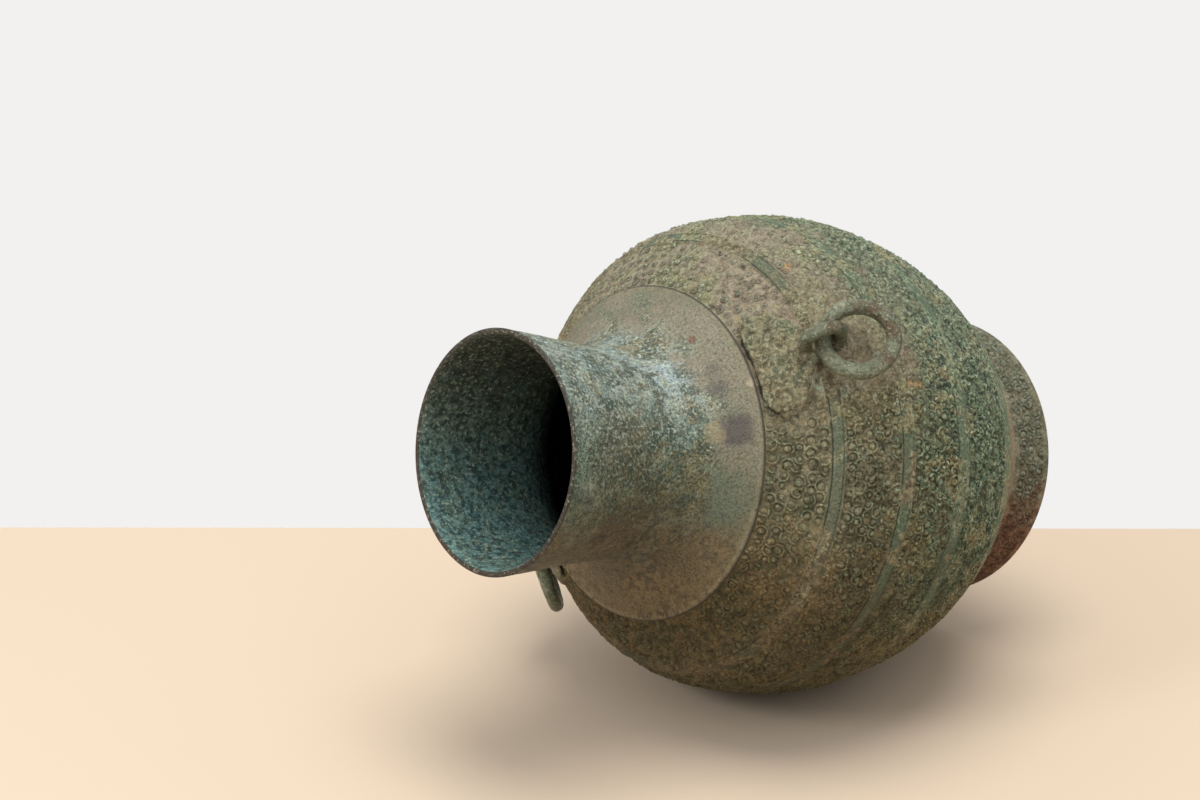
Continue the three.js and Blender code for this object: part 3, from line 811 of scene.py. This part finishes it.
def bronze(name, paint, rough=(0.5, 0.8), metal=0.12, bump=0.0018):
    """Patinated cast bronze; paint lays its colours, and bump is the depth of its grain in metres."""
    material = bpy.data.materials.new(name)
    p = Patina(material)
    paint(p)
    # Painted shade in the grooves and crevices that the meshes mark.
    p.over(p.cavity, 0.08, 0.75, 0.85, DARK)
    grain = p.plus(p.times(p.speck, 0.9), p.times(p.grain, 0.5))
    height = p.plus(p.times(p.mottle, 0.9), grain)
    relief = p.add("ShaderNodeBump", {"Strength": 1.0, "Distance": bump, "Height": height})
    p.show(p.add("ShaderNodeBsdfPrincipled", {
        "Base Color": p.colour, "Roughness": p.span(p.mottle, 0.35, 0.65, rough[1], rough[0]),
        "Metallic": metal, "Normal": relief.outputs["Normal"]}))
    return material


def underside(p, brown):
    """Browner under the vase as it lies: partly brown patina, partly painted shade and warm bounced light.
    """
    dark, light = [c * 0.62 for c in brown], [c * 1.55 for c in brown]
    mottled = p.mix(p.span(p.patch, 0.42, 0.6), p.two(p.fine, dark, light), p.two(p.dust, brown, light))
    p.over(p.ragged(p.side, 0.9), 0.1, -0.6, 0.7, mottled)


def shaded_below(p):
    """Painted shade under the vase as it lies: darker, and warmer as painted light bounced up from below."""
    p.lay(p.span(p.ragged(p.side, 0.9), 0.1, -0.6, 0.0, 0.9), SHADE_BELOW, "MULTIPLY")


def olive_share(p):
    """Where the green of bands and strips is olive rather than teal."""
    return p.span(p.ragged(p.broad, 1.3, 1.1), 0.44, 0.58)


def greenness(p):
    """Where the ornament is green rather than earthy: toward the foot, on the upper side and in patches."""
    green = p.plus(p.span(p.z, 0.21, 0.1, 0.07, 0.43), p.times(p.side, 0.14))
    green = p.plus(green, p.times(p.broad, 0.5))
    return p.minus(p.ragged(green, 0.9, 0.5), p.times(p.earth, 0.1))


def crusted(p, green):
    """Cream and mint specks, stronger on raised parts as a painted highlight, rust and dark dust over the
    ornament's colours.
    """
    crust = p.mix(p.span(p.ragged(green, 0.8, 0.8), 0.35, 0.65), (224, 212, 170), (214, 224, 188))
    pale = p.times(p.span(p.speck, 0.52, 0.57), p.span(p.ragged(green, 1.4), 0.25, 0.75, 0.2, 1.0))
    # The specks are crust, laid stronger on raised parts as a painted highlight.
    p.lay(p.times(pale, p.span(p.relief, 0.0, 0.5, 0.5, 1.0)), crust)
    rust = p.times(p.span(p.patch, 0.6, 0.68), p.span(p.mottle, 0.55, 0.65, 0.0, 0.5))
    p.lay(rust, (156, 114, 78))
    p.over(p.dust, 0.46, 0.38, 0.45, DARK)


def ornament_ground(p, green, olive, upper):
    """Low parts of the ornament: earth, and teal or olive moss where it is green."""
    earth = p.mix(upper, p.two(p.mottle, (112, 108, 78), (170, 162, 127)),
                  p.two(p.mottle, (154, 138, 114), (190, 173, 148)))
    mossy = p.mix(olive, p.two(p.mottle, (56, 84, 62), (126, 152, 116)),
                  p.two(p.mottle, (90, 92, 56), (166, 162, 112)))
    return p.mix(p.span(green, 0.36, 0.6, 0.0, 0.85), earth, mossy)


def ornament_knobs(p, green, olive, upper):
    """High parts of the ornament: worn grey-green, and teal or olive where it is green."""
    bare = p.mix(upper, p.two(p.dust, (96, 112, 84), (176, 184, 148), *NARROW),
                 p.two(p.dust, (58, 76, 64), (136, 152, 132), 0.4, 0.66))
    mossy = p.mix(olive, p.two(p.dust, (58, 106, 82), (170, 206, 170), *NARROW),
                  p.two(p.dust, (112, 116, 74), (212, 206, 154), *NARROW))
    return p.mix(p.span(green, 0.2, 0.5), bare, mossy)


def paint_ornament(p):
    """Relief bands: earthy and worn next to the neck, greener toward the foot, with specks and spots, pale
    dust and a painted highlight on the upper side, and painted shade below.
    """
    green = greenness(p)
    olive = olive_share(p)
    upper = p.span(p.ragged(p.side, 0.8, 0.6), 0.2, 0.8)
    near_neck = p.times(upper, p.span(p.z, 0.195, 0.215))
    knobs = ornament_knobs(p, p.minus(green, p.times(near_neck, 0.3)), olive, upper)
    p.colour = ornament_ground(p, green, olive, upper)
    p.over(p.plus(p.relief, p.times(near_neck, 0.09)), 0.2, 0.48, 0.9, knobs)
    ochre = p.times(p.span(p.ragged(p.broad, 0.9, 0.9), 0.51, 0.6), p.span(green, 0.6, 0.4, 0.4, 0.6))
    ochre = p.times(ochre, p.span(upper, 0, 1, 1.0, 0.3))
    p.lay(ochre, p.two(p.dust, (124, 100, 60), (172, 150, 104)))
    shade = p.times(p.span(p.fine, 0.47, 0.4), p.span(p.ragged(p.broad, 1.2, 0.4), 0.52, 0.4))
    p.lay(p.times(shade, 0.7), (62, 60, 40))
    low = p.times(p.span(green, 0.45, 0.7), p.span(p.ragged(p.relief, 0.0, 1.2), 0.2, 0.02, 0.0, 0.7))
    p.lay(low, (40, 62, 50))
    # Pale dust on the upper side as the vase lies, which is also a painted highlight there.
    dust_and_highlight = p.times(p.span(p.ragged(p.side, 0.8, 0.6), 0.4, 0.9, 0.0, 0.3), p.span(p.fine, 0.45, 0.55))
    p.lay(dust_and_highlight, p.two(p.speck, (150, 152, 126), (206, 206, 178), *NARROW))
    crusted(p, green)
    shaded_below(p)
    spotted(p, ORANGE_SPOTS, 1.2, p.span(p.fine, 0.42, 0.54, 0.05, 0.8), ORANGE)
    spotted(p, MINT_SPOTS, 1.5, p.span(p.fine, 0.42, 0.55, 0.1, 0.85), MINT)


def strip_soil(p, green):
    """Earth on the strips, teal or olive where it is green."""
    earth = p.two(p.fine, (98, 86, 60), (156, 142, 108))
    mossy = p.mix(olive_share(p), p.two(p.fine, (56, 80, 60), (146, 168, 134)),
                  p.two(p.fine, (84, 84, 52), (172, 164, 118)))
    soil = p.mix(p.span(green, 0.3, 0.6), earth, mossy)
    return p.mix(p.span(p.speck, 0.5, 0.6, 0.0, 0.7), soil, (196, 190, 154))


def paint_strip(p):
    """Plain strips between the bands, grey-green where earth does not cover them."""
    green = greenness(p)
    p.colour = p.mix(p.span(green, 0.25, 0.55), p.two(p.dust, (98, 104, 80), (126, 130, 104), *NARROW),
                     p.two(p.dust, (80, 102, 76), (120, 138, 108), *NARROW))
    cover = p.plus(p.earth, p.span(p.patch, 0.48, 0.66, 0.0, 0.4))
    on_top = p.times(p.span(p.side, 0.2, 0.7, 0.0, 0.28), p.span(p.fine, 0.4, 0.6, 0.4, 1.0))
    cover = p.ragged(p.plus(cover, on_top), 0.8, 2.2)
    p.over(cover, 0.15, 0.6, 0.95, strip_soil(p, green))
    spots = p.times(p.span(p.speck, 0.54, 0.61), p.span(p.ragged(green, 1.4), 0.3, 0.8, 0.2, 0.8))
    p.lay(spots, (190, 200, 168))
    p.over(p.dust, 0.44, 0.36, 0.4, DARK)
    shaded_below(p)


def neck_colour(p):
    """Smooth neck, mottled in teal, blue-grey, olive and brown, with pale blue-grey patches on its upper
    side as a painted highlight.
    """
    top = p.two(p.dust, (84, 100, 90), (152, 163, 153), *NARROW)
    p.colour = p.two(p.dust, (40, 70, 60), (112, 130, 106), *NARROW)
    p.lay(p.span(p.ragged(p.side, 1.3, 0.7), 0.1, 0.8), top)
    p.over(p.patch, 0.47, 0.34, 0.55, p.two(p.dust, (84, 112, 118), (136, 158, 166)))
    p.over(p.ragged(p.broad, 1.2, 0.7), 0.47, 0.6, 0.75, p.two(p.dust, (66, 60, 34), (130, 116, 72)))
    # Dark patches, and pale blue-grey ones that are a painted highlight.
    for spot, size, share, dark, light in NECK_PATCHES_AND_HIGHLIGHT:
        p.lay(p.times(p.haze(spot, size), share), p.two(p.dust, dark, light))
    blotch = p.noise(95, 6, 0.72)
    stain = p.noise(62, 7, 0.78, 0.5)
    for field, low, high, share, dark, light in (
            (blotch, 0.5, 0.43, 0.8, (40, 48, 38), (76, 84, 66)),
            (blotch, 0.56, 0.64, 0.5, (112, 124, 104), (162, 168, 146)),
            (stain, 0.48, 0.41, 0.75, (28, 50, 44), (64, 86, 72)),
            (stain, 0.55, 0.62, 0.5, (118, 130, 106), (158, 168, 142))):
        p.over(field, low, high, share, p.two(p.dust, dark, light, *NARROW))
    pale = p.times(p.span(p.speck, 0.53, 0.6), p.span(p.side, -0.2, 0.8, 0.25, 0.75))
    p.lay(pale, p.two(p.mottle, (190, 202, 190), (180, 182, 150), 0.45, 0.55))
    purple = p.times(p.span(p.fine, 0.46, 0.38), p.span(p.mottle, 0.48, 0.58))
    p.lay(p.times(purple, 0.8), (84, 56, 52))
    underside(p, (70, 58, 40))
    return p.colour


def shoulder_colour(p):
    """Tan shoulder, browner below, with green patches."""
    p.colour = p.two(p.dust, (112, 106, 86), (144, 136, 114), *WIDE)
    p.over(p.patch, 0.5, 0.66, 0.7, (114, 120, 98))
    p.over(p.broad, 0.52, 0.7, 0.5, (124, 104, 82))
    olive = p.two(p.dust, (86, 80, 54), (120, 112, 82), *WIDE)
    p.over(p.ragged(p.side, 0.9, 0.4), 0.45, -0.1, 0.8, olive)
    green = p.two(p.dust, (86, 92, 72), (122, 128, 104), *WIDE)
    p.over(p.ragged(p.broad, 0.9, 0.6), 0.5, 0.62, 0.5, green)
    underside(p, (88, 74, 50))
    for spot, size in GREEN_PATCHES:
        p.lay(p.times(p.haze(spot, size), 0.5), p.two(p.dust, (76, 92, 78), (104, 120, 102)))
    return p.colour


def paint_neck(p):
    """Neck, shoulder and lip, with the shoulder's dark stains and small spots."""
    rise = p.span(p.ragged(p.z, 0.05, 0.012), 0.23, 0.242)
    p.colour = p.mix(rise, shoulder_colour(p), neck_colour(p))
    for spot, size, share in PLUM_STAINS:
        p.lay(p.times(p.haze(spot, size), share), PLUM)
    for spot, size, share, tint in SHOULDER_SPOTS:
        p.lay(p.times(p.near(spot, size), share), tint)
    p.over(p.dust, 0.45, 0.37, 0.5, DARK)
    # A paler band along the shoulder's raised line.
    pale_edge = p.times(p.times(p.relief, 0.5), p.span(p.fine, 0.4, 0.6))
    p.lay(pale_edge, (152, 138, 106))
    lip = p.two(p.speck, (48, 40, 30), (138, 130, 110), 0.55, 0.62)
    p.over(p.ragged(p.z, 0.002, 0.002), 0.3186, 0.3194, 0.9, lip)


def paint_inside(p):
    """Inside of the neck: blue-green below, painted shade in dark olive above, and painted shade that grows
    black with depth.
    """
    p.colour = p.two(p.fine, (44, 60, 50), (106, 124, 108))
    p.over(p.patch, 0.5, 0.64, 0.6, p.two(p.fine, (64, 104, 104), (120, 158, 156)))
    blue = p.times(p.span(p.ragged(p.side, 0.9, 0.7), 0.2, -0.5), p.span(p.mottle, 0.44, 0.58, 0.15, 0.75))
    p.lay(blue, p.two(p.fine, (22, 68, 76), (92, 140, 140)))
    rust = p.times(p.span(p.mottle, 0.57, 0.63), p.span(p.patch, 0.48, 0.56, 0.0, 0.6))
    p.lay(rust, (96, 62, 44))
    # Painted shade: dark olive on the upper inside wall.
    p.over(p.side, -0.1, 0.7, 0.85, p.two(p.mottle, (28, 30, 22), (60, 64, 46), *NARROW))
    p.over(p.speck, 0.54, 0.62, 0.7, (170, 186, 164))
    p.over(p.speck, 0.45, 0.36, 0.75, DARK)
    # Painted shade: black deeper down the neck.
    p.over(p.z, 0.27, 0.22, 0.85, DARK)


def paint_foot(p):
    """Foot: pale seam at its top, grey-green ornament, red-brown below as the vase lies."""
    p.colour = p.two(p.mottle, (98, 94, 70), (140, 134, 106), *NARROW)
    p.over(p.relief, 0.2, 0.7, 0.85, p.two(p.speck, (104, 114, 94), (156, 162, 138)))
    p.lay(p.times(p.span(p.speck, 0.54, 0.62), 0.6), (178, 180, 156))
    p.over(p.ragged(p.side, 1.2, 0.9), 0.2, -0.3, 0.85, p.two(p.mottle, (108, 66, 46), (160, 112, 80)))
    p.over(p.z, 0.0205, 0.0225, 0.7, (162, 140, 112))
    p.over(p.dust, 0.45, 0.37, 0.6, DARK)


def paint_mask(p):
    """Masks, as earthy as the ornament round them, with green patches, pale high places, and painted shade
    in low places and on the plate's edges.
    """
    p.colour = p.two(p.fine, (100, 90, 64), (160, 148, 114))
    p.over(p.patch, 0.46, 0.62, 0.7, p.two(p.fine, (94, 108, 82), (150, 158, 126)))
    high = p.times(p.span(p.relief, 0.5, 0.9), p.span(p.mottle, 0.45, 0.6))
    p.lay(p.times(high, 0.5), (166, 164, 132))
    # Painted shade in the mask's low places and on its edges.
    p.over(p.relief, 0.3, 0.05, 0.55, (74, 66, 46))
    p.lay(p.times(p.span(p.speck, 0.52, 0.6), 0.7), (200, 192, 156))
    p.over(p.dust, 0.46, 0.38, 0.6, DARK)


def paint_ring(p):
    """Rings and their loops: grey-green and smoother than the body, worn pale and stained brown."""
    p.colour = p.two(p.dust, (102, 108, 88), (136, 140, 116), 0.35, 0.65)
    p.over(p.patch, 0.5, 0.58, 0.85, p.two(p.dust, (84, 70, 54), (112, 94, 72), 0.35, 0.65))
    p.over(p.patch, 0.46, 0.38, 0.6, p.two(p.dust, (150, 150, 126), (190, 188, 160), 0.35, 0.65))
    p.over(p.mottle, 0.52, 0.62, 0.6, (92, 108, 90))
    p.over(p.relief, 0.7, 0.54, 0.6, (70, 62, 46))
    p.lay(p.times(p.span(p.speck, 0.55, 0.62), 0.5), (206, 204, 178))
    p.over(p.dust, 0.42, 0.36, 0.5, DARK)


ornament = bronze("bronze_ornament", paint_ornament, rough=(0.4, 0.72), metal=0.2, bump=0.0026)
strip_bronze = bronze("bronze_strip", paint_strip, bump=0.0026)
neck_bronze = bronze("bronze_neck", paint_neck, rough=(0.42, 0.7), bump=0.0007)
inside_bronze = bronze("bronze_inside", paint_inside, bump=0.0008)
foot_bronze = bronze("bronze_foot", paint_foot)
mask_bronze = bronze("bronze_mask", paint_mask, bump=0.0024)
ring_bronze = bronze("bronze_ring", paint_ring, rough=(0.28, 0.46), metal=0.7, bump=0.0011)
loop_bronze = bronze("bronze_loop", paint_ring, rough=(0.28, 0.46), metal=0.7, bump=0.0012)

skins = {"body_neck": neck_bronze, "body_inside": inside_bronze, "body_lower": strip_bronze}
for piece in body_pieces():
    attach(piece, "vase")
    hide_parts("vessel")
    usual = strip_bronze if "strip" in piece.name else ornament
    piece.data.materials.append(skins.get(piece.name, usual))
foot = foot_piece()
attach(foot, "vase")
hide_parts("foot_ring")
foot.data.materials.append(foot_bronze)
for side, node in ((1, "mask_right"), (-1, "mask_left")):
    for piece, skin in zip(mask_pieces(node, side), (mask_bronze, loop_bronze)):
        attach(piece, "vase")
        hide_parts(node)
        piece.data.materials.append(skin)
for body, node in (("ring_a", "ring_right"), ("ring_b", "ring_left")):
    piece = ring_piece(node + "_skin", node)
    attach(piece, body)
    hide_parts(node)
    piece.data.materials.append(ring_bronze)

# Camera, floor and light, in metres

EYE = Vector((0.7311, -0.39565, 1.0144))
FORWARD = Vector((-0.63763, 0.37056, -0.675356)).normalized()
RIGHT = Vector((0.59623, -0.31772, -0.737264)).normalized()
UP = RIGHT.cross(FORWARD).normalized()
# Along the floor, away from the camera and across its view.
AWAY = (FORWARD - LYING_UP * FORWARD.dot(LYING_UP)).normalized()
ACROSS = AWAY.cross(LYING_UP).normalized()
# The floor's edges, from the point below the camera: it ends just behind the vase, and beyond it is white.
FLOOR_NEAR, FLOOR_FAR, FLOOR_SIDE = -2.5, 1.31, 3

camera_data = bpy.data.cameras.new("camera")
camera_data.lens = 70.75
camera_data.sensor_width = 36
camera = placed("camera", camera_data)
turn = Matrix((RIGHT, UP, -FORWARD)).transposed()
camera.matrix_world = Matrix.Translation(EYE) @ turn.to_4x4()
bpy.context.scene.camera = camera


def floor_level():
    """How far along LYING_UP the belly touches the floor."""
    a = math.atan2(-LYING_UP.y, -LYING_UP.x)
    levels = []
    for z in np.linspace(30, 200, 60):
        r = body_radius(z) + RELIEF
        levels.append((Vector((r * math.cos(a), r * math.sin(a), z)) * MM).dot(LYING_UP))
    return min(levels)


def floor_material():
    """Plain pale floor that is see-through from below."""
    material = bpy.data.materials.new("floor_pale")
    n = Nodes(material)
    diffuse = n.add("ShaderNodeBsdfDiffuse", {"Color": linear(203, 184, 162)})
    clear = n.add("ShaderNodeBsdfTransparent")
    n.show(n.blended(n.add("ShaderNodeNewGeometry").outputs["Backfacing"], diffuse, clear))
    return material


below_eye = EYE - LYING_UP * (EYE.dot(LYING_UP) - floor_level())
floor_mesh = bpy.data.meshes.new("floor")
corners = [below_eye + AWAY * a + ACROSS * b
           for a, b in ((FLOOR_NEAR, -FLOOR_SIDE), (FLOOR_NEAR, FLOOR_SIDE),
                        (FLOOR_FAR, FLOOR_SIDE), (FLOOR_FAR, -FLOOR_SIDE))]
floor_mesh.from_pydata(corners, [], [(0, 1, 2, 3)])
floor_mesh.update()
floor = placed("floor", floor_mesh)
floor_mesh.materials.append(floor_material())


def light_world():
    """White behind the vase, and light from all round that is weaker from below."""
    world = bpy.data.worlds.new("world")
    n = Nodes(world)
    sky = n.add("ShaderNodeTexCoord").outputs["Generated"]
    rise = n.vector("DOT_PRODUCT", sky, LYING_UP).outputs["Value"]
    strength = n.span(rise, -0.5, 0.9, 0.08, 1.0)
    ambient = n.add("ShaderNodeBackground", {"Color": (0.95, 0.97, 1.0, 1), "Strength": strength})
    white = n.add("ShaderNodeBackground", {"Color": linear(242, 241, 240)})
    camera_ray = n.add("ShaderNodeLightPath").outputs["Is Camera Ray"]
    n.show(n.blended(camera_ray, ambient, white), "ShaderNodeOutputWorld")
    bpy.context.scene.world = world


def area_light(name, direction, distance, size, power, colour):
    data = bpy.data.lights.new(name, "AREA")
    data.shape = "DISK"
    data.size = size
    data.energy = power
    data.color = colour
    light = placed(name, data)
    middle = Vector((0, 0, 0.16))
    direction = direction.normalized()
    light.location = middle + direction * distance
    light.rotation_mode = "QUATERNION"
    light.rotation_quaternion = direction.to_track_quat("Z", "Y")


light_world()
area_light("key", 0.05 * RIGHT + 1.15 * LYING_UP - 0.1 * AWAY,
           distance=1.8, size=1.2, power=26, colour=(1.0, 0.985, 0.95))
area_light("side", -0.9 * RIGHT + 0.6 * LYING_UP - 0.6 * AWAY,
           distance=2.0, size=0.6, power=12, colour=(0.96, 0.98, 1.0))

bpy.context.scene.view_settings.view_transform = "Standard"
